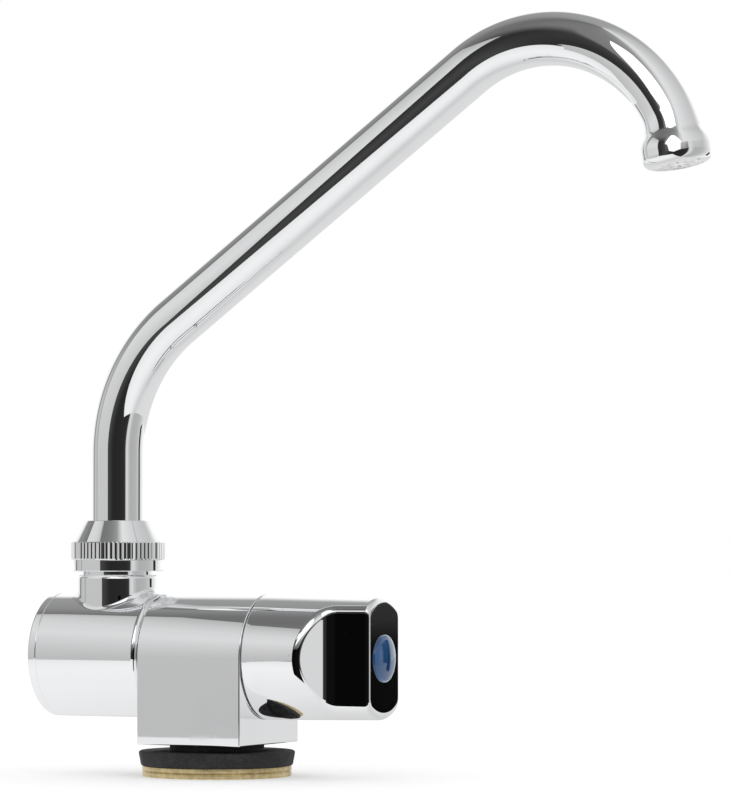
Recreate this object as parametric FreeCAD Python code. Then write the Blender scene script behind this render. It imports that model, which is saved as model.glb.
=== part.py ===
import FreeCAD, Part
import math
import os

Vec = FreeCAD.Vector

# Fold-down swivel cold water tap, millimetres, Z up.
# The origin is on the shank's axis, in the plane of the block's underside, which rests on the sink.
# The body axis runs along X: barrel on the left, valve block in the middle, handle on the right.

# Clearances
run_gap = 0.05          # turning fits
still_gap = 0.03        # screwed, pushed and brazed fits
seam = 0.5              # open seam between block and barrel
handle_seam = 0.3       # open seam between block and handle
end_play = 0.1          # along a pivot
floor_gap = 0.3         # under the end of a blind fit

# Body
body_d = 37.5           # barrel, block top and handle share it
axis_h = 26.0           # body axis above the seat
block_reach = 17.0      # from the shank's axis to the barrel's side
block_right = 17.6      # and to the handle's side
block_edge = 0.5
waterway_r = 3.5

# Shank, gasket and ring nut under the sink
shank_d = 26.44         # G 3/4 thread
shank_drop = 9.2
shank_bevel = 0.8
stub_r = 10.0           # screwed into the block
stub_len = 8.7
shank_recess = 0.6      # pocket in the block that the shank's shoulder seats in
inlet_r = 7.475         # G 3/8 female thread, minor radius
inlet_depth = 9.2
inlet_seal_r = 6.2
inlet_seal_t = 1.5
sink_t = 2.1            # thickest sheet that fits between block and gasket
gasket_d = 47.2
gasket_t = 4.4
gasket_edge = 0.6
gasket_taper = 0.8      # the rim slopes inward to its underside
gasket_lip_w = 0.6      # upstand round the shank
gasket_lip_h = 1.8
ring_nut_d = 44.6
ring_nut_t = 3.2
ring_groove = 0.4
ring_bevel = 0.3
wrench_hole_r = 2.0
wrench_hole_depth = 1.6
wrench_holes = 4

# Quarter-turn cartridge
cartridge_depth = 11.0
seat_r = 4.5
seat_seal_t = 1.0
nose_r = 8.3
disc_r = 6.5
disc_t = 2.2
disc_port_r = 5.4
disc_web_r = 1.6        # solid middle of each disc
disc_port_angle = 76.0
drive_t = 2.0
drive_key_w = 3.0
drive_key_h = 0.8
window_angle = 100.0
hex_flats = 24.0        # the thread in the block is as wide as the flats
hex_h = 5.4
hex_washer_t = 0.6
hex_washer_over = 0.05  # beyond the hexagon's corners
spindle_r = 4.0
spindle_ring_groove_r = 2.7
spindle_ring_groove_w = 1.7
spindle_ring_offset = 2.4
clip_t = 0.8
clip_r = 5.6
clip_groove_r = 3.4
clip_opening = 4.0
square_w = 6.0          # spindle end inside the handle
square_len = 11.0

# Handle
handle_len = 37.85
handle_taper = 1.3      # the handle's end is this much slimmer than the body
handle_bore_r = 15.5
handle_bore_depth = 9.5
handle_edge = 0.5
handle_end_round = 1.6
bar_w = 20.0            # across the finger flats
scoop_len = 10.0        # flat part of each finger scoop
scoop_draft = 2.5       # degrees, the bar is narrowest at its end
scoop_r = 6.2           # hollow between flat and wall
scoop_wall = 55.0       # degrees the wall leans up from the handle's axis
scoop_edge = 2.0
glide_w = 2.0
handle_web = 2.4        # under the screw head
screw_r = 2.0           # M4
screw_head_r = 3.9
screw_head_h = 2.4
screw_len = 15.0
index_r = 7.0
index_depth = 2.4
index_proud = 0.4
index_dome = 1.1
index_stem_r = 4.4
index_stem_len = 1.4

# Pivot that the barrel folds on
spigot_thread_r = 13.0
spigot_depth = 8.0
spigot_chamber = 1.5
transfer_r = 2.5        # drilled waterway from cartridge to pivot
transfer_offset = 11.0
journal_r = 9.0
journal_bore_r = 5.5
port_r = 3.0
port_count = 4
pivot_ring_groove_r = 7.25
pivot_ring_groove_w = 2.2
pivot_ring_offset = 9.0
thrust_washer_r = 14.0
stop_pin_r = 1.25
stop_pin_circle = 15.9
stop_pin_in = 5.0
stop_pin_out = 2.4
fold_angle = 90.0
keeper_r = 13.5
keeper_t = 1.5
keeper_screw_r = 2.1    # M5
keeper_screw_len = 5.0
keeper_head_r = 4.5
keeper_head_h = 3.0

# Barrel and neck
barrel_len = 34.5
barrel_edge = 1.2
barrel_recess_r = 15.5
barrel_recess_depth = 6.1
annulus_r = 11.5
annulus_w = 7.0
cap_t = 2.9
cap_edge = 0.9
cap_plug_w = 1.5
cap_plug_len = 3.0
neck_from_seam = 16.5
neck_d = 24.8
neck_top = 50.2         # heights above the seat
neck_round = 1.3
neck_blend = 2.0
collar_d = 22.2
collar_h = 0.7
neck_thread_d = 22.0
neck_thread_h = 8.7
neck_bore_r = 9.5
neck_bore_floor = 40.0
neck_passage_r = 6.5

# Union nut
nut_band_d = 27.6
nut_band_h = 3.5
nut_lift = 0.3
knurl_d = 28.4
knurl_h = 5.4
knurl_depth = 0.5
knurl_teeth = 64
knurl_relief = 0.15
cone_base_d = 27.2
cone_top_d = 20.2
cone_h = 6.4
slip_ring_t = 0.6
flange_t = 1.5
flange_r = 10.6

# Spout
tube_d = 16.0
tube_wall = 1.0
tube_hole_gap = 0.25
tube_seat = 1.4         # solid web under the tube's end, above the upper groove
nipple_bore_r = 6.0
spout_ring_groove_r = 7.7
spout_ring_groove_w = 2.0
spout_ring_pitch = 3.3
rise = 86.9             # height where the first bend starts
bend_r = 49.0
climb = 36.3            # degrees above level of the long straight
climb_len = 120.6
arch_r = 42.3
arch_end = -60.0        # direction where the arch tightens
curl_r = 22.0
outlet_dir = -80.0      # direction of the water

# Outlet nozzle and aerator
nozzle_len = 10.2
nozzle_neck_d = 17.4
nozzle_neck_len = 0.2
nozzle_d = 20.9
nozzle_flare = 28.0     # degrees between the flare and the axis
nozzle_shoulder = 7.0   # radius between flare and bulb
nozzle_round = 3.2
nozzle_bore_r = 5.4
nozzle_spigot_r = 6.6
nozzle_spigot_len = 3.0
nozzle_skirt_len = 3.0  # over the tube's end
nozzle_skirt_edge = 0.2
aerator_r = 7.0
aerator_depth = 6.4
aerator_recess = 0.2
aerator_wall = 0.9
aerator_seal_t = 1.0
mesh_t = 0.3
mesh_hole_r = 0.6
mesh_hole_pitch = 2.0
mesh_rings = 3
straightener_t = 2.2
straightener_slots = 10
slot_w = 1.0
slot_inner = 2.4
slot_outer = 5.2

# Derived sizes
body_r = body_d / 2
block_left = -block_reach
barrel_right = block_left - seam
barrel_left = barrel_right - barrel_len
neck_x = barrel_right - neck_from_seam
recess_floor = barrel_left + barrel_recess_depth
journal_end = recess_floor - end_play
spigot_inner = block_left + spigot_depth - spigot_chamber
shank_r = shank_d / 2
inlet_floor = inlet_depth - shank_drop
gasket_top = -sink_t
gasket_bottom = gasket_top - gasket_t
foot_z = gasket_bottom - ring_nut_t
handle_start = block_right + handle_seam
handle_end = handle_start + handle_len
handle_end_d = body_d - handle_taper
seat_x = block_right - cartridge_depth
fixed_disc_x = seat_x + seat_seal_t
moving_disc_x = fixed_disc_x + disc_t + run_gap
drive_x = moving_disc_x + disc_t + run_gap
chamber_end = drive_x + drive_t + end_play
hex_start = block_right + hex_washer_t
cartridge_r = hex_flats / 2
hex_end = hex_start + hex_h
clip_x = hex_end + end_play
square_start = handle_start + handle_bore_depth
square_end = square_start + square_len
screw_seat = square_end + floor_gap + handle_web
nut_bottom = neck_top + collar_h + nut_lift
knurl_bottom = nut_bottom + nut_band_h
cone_bottom = knurl_bottom + knurl_h
nut_top = cone_bottom + cone_h
neck_end = neck_top + collar_h + neck_thread_h
flange_bottom = neck_end + slip_ring_t + run_gap
flange_top = flange_bottom + flange_t
nut_shoulder = flange_top + run_gap + slip_ring_t
nipple_foot = neck_bore_floor + floor_gap
nipple_r = neck_bore_r - run_gap
lower_ring_z = nipple_foot + spout_ring_groove_w
upper_ring_z = lower_ring_z + spout_ring_pitch
tube_foot = upper_ring_z + spout_ring_groove_w / 2 + tube_seat
tube_r = tube_d / 2
tube_bore_r = tube_r - tube_wall


# Solids turned about the local Z axis
def rod(radius, start, end):
    return Part.makeCylinder(radius, end - start, Vec(0, 0, start))


def ring(inner, outer, start, end):
    return rod(outer, start, end).cut(rod(inner, start, end))


def turned(points):
    corners = [Vec(radius, 0, height) for radius, height in points]
    face = Part.Face(Part.makePolygon(corners + corners[:1]))
    return face.revolve(Vec(0, 0, 0), Vec(0, 0, 1), 360)


def o_ring(inner, outer, height):
    return Part.makeTorus((inner + outer) / 2, (outer - inner) / 2, Vec(0, 0, height))


def wedge(radius, angle, middle, start, end):
    sector = Part.makeCylinder(radius, end - start, Vec(0, 0, start), Vec(0, 0, 1), angle)
    sector.rotate(Vec(0, 0, 0), Vec(0, 0, 1), middle - angle / 2)
    return sector


def hexagon(flats, start, end):
    reach = flats / math.sqrt(3)
    turns = [math.radians(60 * step) for step in range(7)]
    corners = [Vec(reach * math.cos(turn), reach * math.sin(turn), start) for turn in turns]
    return Part.Face(Part.makePolygon(corners)).extrude(Vec(0, 0, end - start))


def square(width, start, end):
    return Part.makeBox(width, width, end - start, Vec(-width / 2, -width / 2, start))


def rounded(shape, radius, wanted):
    return shape.makeFillet(radius, [edge for edge in shape.Edges if wanted(edge)])


# Places on the tap's axes
def placed(shape, place, turn):
    shape.Placement = FreeCAD.Placement(place, turn).multiply(shape.Placement)
    return shape


def on_body_axis(shape):
    # local X, Y and Z become world Y, Z and X
    turn = FreeCAD.Rotation(Vec(0, 1, 0), Vec(0, 0, 1), Vec(1, 0, 0), "ZXY")
    return placed(shape, Vec(0, 0, axis_h), turn)


def on_neck_axis(shape):
    return placed(shape, Vec(neck_x, 0, 0), FreeCAD.Rotation())


def on_outlet_axis(shape):
    # local Z is the way the water leaves
    way = math.radians(outlet_dir)
    turn = FreeCAD.Rotation(Vec(0, 0, 1), Vec(math.cos(way), 0, math.sin(way)))
    return placed(shape, spout_path()[-1].valueAt(spout_path()[-1].LastParameter), turn)


# Spout centre line: up, a gentle bend, a long climb, the arch and a tighter curl at the outlet
def spout_path():
    edges = [Part.LineSegment(Vec(neck_x, 0, tube_foot), Vec(neck_x, 0, rise)).toShape()]
    at = Vec(neck_x, 0, rise)
    heading = 90.0
    for radius, goal in ((bend_r, climb), (None, climb), (arch_r, arch_end), (curl_r, outlet_dir)):
        if radius is None:
            way = math.radians(heading)
            leave = at + Vec(climb_len * math.cos(way), 0, climb_len * math.sin(way))
            edges.append(Part.LineSegment(at, leave).toShape())
        else:
            start, middle, end = (math.radians(angle) for angle in (heading, (heading + goal) / 2, goal))
            centre = at + Vec(radius * math.sin(start), 0, -radius * math.cos(start))
            via = centre + Vec(-radius * math.sin(middle), 0, radius * math.cos(middle))
            leave = centre + Vec(-radius * math.sin(end), 0, radius * math.cos(end))
            edges.append(Part.Arc(at, via, leave).toShape())
        at = leave
        heading = goal
    return edges


def tube_along_spout(radius):
    circle = Part.Circle(Vec(neck_x, 0, tube_foot), Vec(0, 0, 1), radius).toShape()
    return Part.Wire(spout_path()).makePipeShell([Part.Wire(circle)], True, False)


# Base
def valve_block():
    front_foot = Vec(block_left, -body_r, 0)
    front_top = Vec(block_left, -body_r, axis_h)
    crown = Vec(block_left, 0, axis_h + body_r)
    back_top = Vec(block_left, body_r, axis_h)
    back_foot = Vec(block_left, body_r, 0)
    outline = Part.Wire([
        Part.LineSegment(front_foot, front_top).toShape(),
        Part.Arc(front_top, crown, back_top).toShape(),
        Part.LineSegment(back_top, back_foot).toShape(),
        Part.LineSegment(back_foot, front_foot).toShape(),
    ])
    block = Part.Face(outline).extrude(Vec(block_right - block_left, 0, 0))
    block = rounded(block, block_edge, lambda edge: edge.BoundBox.XLength < block_edge or
                    edge.BoundBox.ZMax < block_edge)
    cuts = [
        on_body_axis(rod(cartridge_r, seat_x, block_right)),
        on_body_axis(rod(seat_r, 0, seat_x)),
        on_body_axis(rod(spigot_thread_r, block_left, block_left + spigot_depth)),
        rod(waterway_r, 0, axis_h),
        rod(stub_r, 0, stub_len + floor_gap),
        rod(shank_r + still_gap, 0, shank_recess),
    ]
    transfer = rod(transfer_r, block_left + spigot_depth - run_gap, seat_x + transfer_r)
    transfer.translate(Vec(0, transfer_offset, 0))
    cuts.append(on_body_axis(transfer))
    cuts.append(stop_pin_place(rod(stop_pin_r + still_gap, block_left, block_left + stop_pin_in)))
    return block.cut(cuts)


def mounting_shank():
    return turned([
        (inlet_r, -shank_drop),
        (shank_r - shank_bevel, -shank_drop),
        (shank_r, -shank_drop + shank_bevel),
        (shank_r, shank_recess),
        (stub_r - still_gap, shank_recess),
        (stub_r - still_gap, stub_len),
        (waterway_r, stub_len),
        (waterway_r, inlet_floor + inlet_seal_t),
        (inlet_seal_r, inlet_floor + inlet_seal_t),
        (inlet_seal_r, inlet_floor),
        (inlet_r, inlet_floor),
    ])


def inlet_seal():
    return ring(waterway_r + floor_gap, inlet_seal_r - still_gap, inlet_floor, inlet_floor + inlet_seal_t)


def foot_gasket():
    inner = shank_r + floor_gap
    outer = gasket_d / 2
    low = outer - gasket_taper
    gasket = turned([
        (inner, gasket_bottom),
        (low, gasket_bottom),
        (outer, gasket_top),
        (inner + gasket_lip_w, gasket_top),
        (inner + gasket_lip_w, gasket_top + gasket_lip_h),
        (inner, gasket_top + gasket_lip_h),
    ])
    return rounded(gasket, gasket_edge, lambda edge: edge.BoundBox.XMax > low - still_gap and
                   edge.BoundBox.ZLength < still_gap)


def ring_nut():
    outer = ring_nut_d / 2
    middle = foot_z + ring_nut_t / 2
    nut = turned([
        (shank_r + still_gap, foot_z),
        (outer - ring_bevel, foot_z),
        (outer, foot_z + ring_bevel),
        (outer, middle - ring_groove / 2),
        (outer - ring_groove, middle),
        (outer, middle + ring_groove / 2),
        (outer, gasket_bottom - ring_bevel),
        (outer - ring_bevel, gasket_bottom),
        (shank_r + still_gap, gasket_bottom),
    ])
    circle = (shank_r + outer) / 2
    holes = []
    for step in range(wrench_holes):
        hole = rod(wrench_hole_r, foot_z, foot_z + wrench_hole_depth)
        hole.translate(Vec(circle, 0, 0))
        hole.rotate(Vec(0, 0, 0), Vec(0, 0, 1), 360 * step / wrench_holes)
        holes.append(hole)
    return nut.cut(holes)


def cartridge_body():
    thread = rod(cartridge_r - still_gap, drive_x, hex_start)
    nose = rod(nose_r, fixed_disc_x, drive_x)
    head = hexagon(hex_flats, hex_start, hex_end)
    body = thread.fuse([nose, head]).removeSplitter()
    cuts = [
        rod(disc_r + run_gap, fixed_disc_x, chamber_end),
        rod(spindle_r + run_gap, chamber_end, hex_end),
    ]
    for middle in (90, 270):
        cuts.append(wedge(nose_r + run_gap, window_angle, middle, moving_disc_x, drive_x))
    return on_body_axis(body.cut(cuts))


def cartridge_washer():
    outer = hex_flats / math.sqrt(3) + hex_washer_over
    return on_body_axis(ring(cartridge_r + still_gap, outer, block_right, hex_start))


def seat_seal():
    return on_body_axis(ring(seat_r, nose_r, seat_x, fixed_disc_x))


def ported_disc(start, middle):
    disc = rod(disc_r, start, start + disc_t)
    for side in (0, 180):
        port = wedge(disc_port_r, disc_port_angle, middle + side, start, start + disc_t)
        disc = disc.cut(port.cut(rod(disc_web_r, start, start + disc_t)))
    return disc


def fixed_disc():
    return on_body_axis(ported_disc(fixed_disc_x, 90))


def handle_glide_ring():
    return on_body_axis(ring(handle_bore_r + floor_gap, handle_bore_r + floor_gap + glide_w,
                             block_right, handle_start - run_gap))


def pivot_ring_places():
    return (neck_x - pivot_ring_offset, neck_x + pivot_ring_offset)


def pivot_spigot():
    flange_r_out = spigot_thread_r - still_gap
    spigot = rod(flange_r_out, block_left, spigot_inner).fuse(rod(journal_r, journal_end, block_left))
    bore_end = neck_x - port_r - still_gap
    cuts = [
        rod(journal_bore_r, bore_end, spigot_inner),
        rod(keeper_screw_r, journal_end, journal_end + keeper_screw_len + floor_gap),
    ]
    half = pivot_ring_groove_w / 2
    for place in pivot_ring_places():
        cuts.append(ring(pivot_ring_groove_r, journal_r + run_gap, place - half, place + half))
    for step in range(port_count):
        port = Part.makeCylinder(port_r, journal_r, Vec(0, 0, neck_x), Vec(1, 0, 0))
        port.rotate(Vec(0, 0, neck_x), Vec(0, 0, 1), 360 * step / port_count)
        cuts.append(port)
    return on_body_axis(spigot.removeSplitter().cut(cuts))


def pivot_o_rings():
    outer = journal_r + run_gap / 2
    rings = [o_ring(pivot_ring_groove_r, outer, place) for place in pivot_ring_places()]
    return Part.Compound([on_body_axis(shape) for shape in rings])


def thrust_washer():
    return on_body_axis(ring(journal_r + run_gap, thrust_washer_r, barrel_right + run_gap, block_left))


def stop_pin_place(shape):
    shape.translate(Vec(0, -stop_pin_circle, 0))
    return on_body_axis(shape)


def stop_pin():
    return stop_pin_place(rod(stop_pin_r, block_left - stop_pin_out, block_left + stop_pin_in - floor_gap))


def pivot_keeper():
    hole = keeper_screw_r + still_gap
    return on_body_axis(ring(hole, keeper_r, journal_end - keeper_t, journal_end))


def pivot_screw():
    head_start = journal_end - keeper_t
    shank = rod(keeper_screw_r - still_gap, head_start, journal_end + keeper_screw_len)
    head = rod(keeper_head_r, head_start - keeper_head_h, head_start)
    head = rounded(head, keeper_head_h / 3, lambda edge: edge.BoundBox.ZMax < head_start - keeper_head_h / 2)
    socket = hexagon(keeper_head_r, head_start - keeper_head_h, head_start - keeper_head_h / 3)
    return on_body_axis(head.fuse(shank).removeSplitter().cut(socket))


# Barrel that folds down, with the neck that carries the spout
def spout_barrel():
    barrel = on_body_axis(rod(body_r, barrel_left, barrel_right))
    barrel = rounded(barrel, barrel_edge, lambda edge: edge.BoundBox.XMin > barrel_right - still_gap)
    neck = rod(neck_d / 2, axis_h, neck_top)
    neck = rounded(neck, neck_round, lambda edge: edge.BoundBox.ZMin > neck_top - still_gap)
    body = barrel.fuse(on_neck_axis(neck)).removeSplitter()
    blend_floor = axis_h + body_r / 2
    body = rounded(body, neck_blend, lambda edge: blend_floor < edge.BoundBox.ZMin and
                   still_gap < edge.BoundBox.ZLength and edge.BoundBox.XLength > neck_d / 2)
    body = body.fuse([
        on_neck_axis(rod(collar_d / 2, neck_top - neck_round, neck_top + collar_h)),
        on_neck_axis(rod(neck_thread_d / 2, neck_top + collar_h, neck_end)),
    ])
    groove_w = stop_pin_r + floor_gap
    groove_r = stop_pin_circle + groove_w
    groove = wedge(groove_r, fold_angle, -90 - fold_angle / 2, barrel_right - stop_pin_out, barrel_right)
    groove = groove.cut(rod(stop_pin_circle - groove_w, barrel_right - stop_pin_out, barrel_right))
    ends = []
    for angle in (-90 - fold_angle, -90):
        end = rod(groove_w, barrel_right - stop_pin_out, barrel_right)
        end.translate(Vec(stop_pin_circle, 0, 0))
        end.rotate(Vec(0, 0, 0), Vec(0, 0, 1), angle)
        ends.append(end)
    cuts = [
        on_body_axis(rod(journal_r + run_gap, recess_floor, barrel_right)),
        on_body_axis(rod(annulus_r, neck_x - annulus_w / 2, neck_x + annulus_w / 2)),
        on_body_axis(rod(barrel_recess_r, barrel_left, recess_floor)),
        on_body_axis(groove.fuse(ends)),
        on_neck_axis(rod(neck_bore_r, neck_bore_floor, neck_end)),
        on_neck_axis(rod(neck_passage_r, axis_h + journal_r + run_gap, neck_bore_floor)),
    ]
    return body.cut(cuts)


def barrel_end_cap():
    cap = rod(body_r, barrel_left - cap_t, barrel_left)
    cap = rounded(cap, cap_edge, lambda edge: edge.BoundBox.ZMax < barrel_left - cap_t / 2)
    plug_r = barrel_recess_r - still_gap
    return on_body_axis(cap.fuse(ring(plug_r - cap_plug_w, plug_r, barrel_left, barrel_left + cap_plug_len)))


def union_nut():
    bore_r = neck_thread_d / 2 + still_gap
    nut = turned([
        (bore_r, nut_bottom),
        (nut_band_d / 2, nut_bottom),
        (nut_band_d / 2, knurl_bottom - knurl_relief),
        (nut_band_d / 2 - knurl_relief, knurl_bottom),
        (cone_base_d / 2, cone_bottom),
        (cone_top_d / 2, nut_top),
        (tube_r + tube_hole_gap, nut_top),
        (tube_r + tube_hole_gap, nut_shoulder),
        (bore_r, nut_shoulder),
    ])
    tips = []
    for step in range(2 * knurl_teeth):
        turn = math.pi * step / knurl_teeth
        radius = knurl_d / 2 - knurl_depth * (step % 2)
        tips.append(Vec(radius * math.cos(turn), radius * math.sin(turn), knurl_bottom))
    knurl = Part.Face(Part.makePolygon(tips + tips[:1])).extrude(Vec(0, 0, knurl_h))
    knurl = knurl.cut(rod(bore_r, knurl_bottom, cone_bottom))
    return on_neck_axis(nut.fuse(knurl).removeSplitter())


def slip_ring(bottom, inner):
    return on_neck_axis(ring(inner, neck_thread_d / 2 - end_play, bottom, bottom + slip_ring_t))


# Spout that swivels in the neck
def spout_tube():
    return tube_along_spout(tube_r).cut(tube_along_spout(tube_bore_r))


def spout_nipple():
    socket_r = tube_r + still_gap
    nipple = turned([
        (nipple_bore_r, nipple_foot),
        (nipple_r, nipple_foot),
        (nipple_r, flange_bottom),
        (flange_r, flange_bottom),
        (flange_r, flange_top),
        (socket_r, flange_top),
        (socket_r, tube_foot),
        (nipple_bore_r, tube_foot),
    ])
    half = spout_ring_groove_w / 2
    for place in (lower_ring_z, upper_ring_z):
        nipple = nipple.cut(ring(spout_ring_groove_r, neck_bore_r, place - half, place + half))
    return on_neck_axis(nipple)


def spout_o_rings():
    outer = neck_bore_r - run_gap / 2
    rings = [o_ring(spout_ring_groove_r, outer, place) for place in (lower_ring_z, upper_ring_z)]
    return Part.Compound([on_neck_axis(shape) for shape in rings])


def outlet_nozzle():
    skirt_r = tube_r + tube_hole_gap
    neck_r = nozzle_neck_d / 2
    bulb_r = nozzle_d / 2
    flare = math.radians(nozzle_flare)
    flare_r = bulb_r - nozzle_shoulder * (1 - math.cos(flare))
    flare_end = nozzle_neck_len + (flare_r - neck_r) / math.tan(flare)
    widest = flare_end + nozzle_shoulder * math.sin(flare)
    via_r = bulb_r - nozzle_shoulder * (1 - math.cos(flare / 2))
    shoulder_via = Vec(via_r, 0, widest - nozzle_shoulder * math.sin(flare / 2))
    round_start = nozzle_len - nozzle_round
    slant = nozzle_round * (1 - math.sqrt(0.5))
    spigot_foot = Vec(nozzle_bore_r, 0, -nozzle_spigot_len)
    corners = [
        spigot_foot,
        Vec(nozzle_spigot_r, 0, -nozzle_spigot_len),
        Vec(nozzle_spigot_r, 0, 0),
        Vec(skirt_r, 0, 0),
        Vec(skirt_r, 0, -nozzle_skirt_len),
        Vec(skirt_r + nozzle_skirt_edge, 0, -nozzle_skirt_len),
        Vec(neck_r, 0, nozzle_neck_len),
        Vec(flare_r, 0, flare_end),
    ]
    bulb_edge = Vec(bulb_r, 0, widest)
    rim_start = Vec(bulb_r, 0, round_start)
    rim_via = Vec(bulb_r - slant, 0, nozzle_len - slant)
    rim_end = Vec(bulb_r - nozzle_round, 0, nozzle_len)
    floor = nozzle_len - aerator_depth
    inside = [
        rim_end,
        Vec(aerator_r + still_gap, 0, nozzle_len),
        Vec(aerator_r + still_gap, 0, floor),
        Vec(nozzle_bore_r, 0, floor),
        spigot_foot,
    ]
    edges = [Part.LineSegment(a, b).toShape() for a, b in zip(corners, corners[1:])]
    edges.append(Part.Arc(corners[-1], shoulder_via, bulb_edge).toShape())
    edges.append(Part.LineSegment(bulb_edge, rim_start).toShape())
    edges.append(Part.Arc(rim_start, rim_via, rim_end).toShape())
    edges += [Part.LineSegment(a, b).toShape() for a, b in zip(inside, inside[1:])]
    return on_outlet_axis(Part.Face(Part.Wire(edges)).revolve(Vec(0, 0, 0), Vec(0, 0, 1), 360))


def aerator_seal():
    floor = nozzle_len - aerator_depth
    return on_outlet_axis(ring(nozzle_bore_r, aerator_r, floor, floor + aerator_seal_t))


def aerator_mesh():
    start = nozzle_len - aerator_depth + aerator_seal_t
    mesh = rod(aerator_r, start, start + mesh_t)
    holes = [rod(mesh_hole_r, start, start + mesh_t)]
    for row in range(1, mesh_rings + 1):
        for step in range(6 * row):
            hole = rod(mesh_hole_r, start, start + mesh_t)
            hole.translate(Vec(mesh_hole_pitch * row, 0, 0))
            hole.rotate(Vec(0, 0, 0), Vec(0, 0, 1), 60 * step / row)
            holes.append(hole)
    return on_outlet_axis(mesh.cut(holes))


def aerator_housing():
    start = nozzle_len - aerator_depth + aerator_seal_t + mesh_t
    end = nozzle_len - aerator_recess
    return on_outlet_axis(ring(aerator_r - aerator_wall, aerator_r, start, end))


def flow_straightener():
    end = nozzle_len - 2 * aerator_recess
    start = end - straightener_t
    plate = rod(aerator_r - aerator_wall - still_gap, start, end)
    slots = []
    for step in range(straightener_slots):
        corner = Vec(slot_inner, -slot_w / 2, start)
        slot = Part.makeBox(slot_outer - slot_inner, slot_w, straightener_t, corner)
        slot.rotate(Vec(0, 0, 0), Vec(0, 0, 1), 360 * step / straightener_slots)
        slots.append(slot)
    return on_outlet_axis(plate.cut(slots))


# Handle with spindle and moving disc
def finger_scoop(side):
    draft = math.radians(scoop_draft)
    rise_back = math.tan(draft) * scoop_len
    bottom = axis_h - body_r
    outside = body_r + scoop_r
    flat_end = Vec(handle_end, bar_w / 2, bottom)
    flat_start = Vec(handle_end - scoop_len, bar_w / 2 + rise_back, bottom)
    centre = flat_start + Vec(math.sin(draft), math.cos(draft), 0) * scoop_r
    wall = math.radians(scoop_wall)
    middle = (draft + wall) / 2
    hollow_mid = centre - Vec(math.sin(middle), math.cos(middle), 0) * scoop_r
    hollow_end = centre - Vec(math.sin(wall), math.cos(wall), 0) * scoop_r
    wall_end = Vec(hollow_end.x - (outside - hollow_end.y) / math.tan(wall), outside, bottom)
    edges = [
        Part.LineSegment(flat_end, flat_start),
        Part.Arc(flat_start, hollow_mid, hollow_end),
        Part.LineSegment(hollow_end, wall_end),
        Part.LineSegment(wall_end, Vec(handle_end, outside, bottom)),
        Part.LineSegment(Vec(handle_end, outside, bottom), flat_end),
    ]
    scoop = Part.Face(Part.Wire([edge.toShape() for edge in edges])).extrude(Vec(0, 0, body_d))
    if side < 0:
        scoop.rotate(Vec(0, 0, axis_h), Vec(1, 0, 0), 180)
    return scoop


def handle_knob():
    grip = Part.makeCone(body_r, handle_end_d / 2, handle_len, Vec(0, 0, handle_start))
    grip = rounded(grip, handle_edge, lambda edge: edge.BoundBox.ZMax < handle_start + still_gap)
    grip = on_body_axis(grip).cut([finger_scoop(1), finger_scoop(-1)])
    grip = rounded(grip, scoop_edge, lambda edge: edge.BoundBox.XMin > square_start and
                   edge.BoundBox.XLength > still_gap)
    grip = rounded(grip, handle_end_round, lambda edge: edge.BoundBox.XMin > handle_end - still_gap)
    cuts = [
        on_body_axis(rod(handle_bore_r, handle_start, square_start)),
        on_body_axis(square(square_w + 2 * still_gap, square_start, square_end + floor_gap)),
        on_body_axis(rod(screw_r + still_gap, square_end, screw_seat)),
        on_body_axis(rod(index_stem_r + still_gap, screw_seat, handle_end - index_depth)),
        on_body_axis(rod(index_r + still_gap, handle_end - index_depth, handle_end)),
    ]
    return grip.cut(cuts)


def handle_screw():
    shank = rod(screw_r - still_gap, screw_seat - screw_len, screw_seat)
    head = rod(screw_head_r, screw_seat, screw_seat + screw_head_h)
    head = rounded(head, screw_head_h / 3, lambda edge: edge.BoundBox.ZMin > screw_seat + screw_head_h / 2)
    socket = hexagon(screw_head_r, screw_seat + screw_head_h / 3, screw_seat + screw_head_h)
    return on_body_axis(head.fuse(shank).removeSplitter().cut(socket))


def index_cap():
    rim = handle_end + index_proud
    base = handle_end - index_depth
    crown = rim + index_dome
    ball_r = (index_r ** 2 + index_dome ** 2) / (2 * index_dome)
    cap = rod(index_r, base, crown)
    cap = cap.common(Part.makeSphere(ball_r, Vec(0, 0, crown - ball_r)))
    stem = rod(index_stem_r, base - index_stem_len, base)
    return on_body_axis(cap.fuse(stem).removeSplitter())


def valve_spindle():
    spindle = rod(spindle_r, drive_x, square_start)
    drive = rod(disc_r, drive_x, drive_x + drive_t)
    key_corner = Vec(-disc_web_r, -drive_key_w / 2, drive_x - drive_key_h)
    key = Part.makeBox(2 * disc_web_r, drive_key_w, drive_key_h, key_corner)
    body = spindle.fuse([drive, key, square(square_w, square_start, square_end)]).removeSplitter()
    cuts = [rod(screw_r, screw_seat - screw_len - floor_gap, square_end)]
    cuts.append(ring(clip_groove_r, spindle_r + run_gap, clip_x - still_gap, clip_x + clip_t + still_gap))
    half = spindle_ring_groove_w / 2
    for place in spindle_ring_places():
        cuts.append(ring(spindle_ring_groove_r, spindle_r + run_gap, place - half, place + half))
    return on_body_axis(body.cut(cuts))


def spindle_ring_places():
    return (chamber_end + spindle_ring_offset, hex_end - spindle_ring_offset)


def moving_disc():
    disc = ported_disc(moving_disc_x, 0)
    slot_start = moving_disc_x + disc_t - drive_key_h - run_gap
    slot_l = 2 * (disc_web_r + still_gap)
    slot_w = drive_key_w + 2 * still_gap
    slot = Part.makeBox(slot_l, slot_w, disc_t, Vec(-slot_l / 2, -slot_w / 2, slot_start))
    return on_body_axis(disc.cut(slot))


def spindle_o_rings():
    outer = spindle_r + run_gap / 2
    rings = [o_ring(spindle_ring_groove_r, outer, place) for place in spindle_ring_places()]
    return Part.Compound([on_body_axis(shape) for shape in rings])


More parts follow.
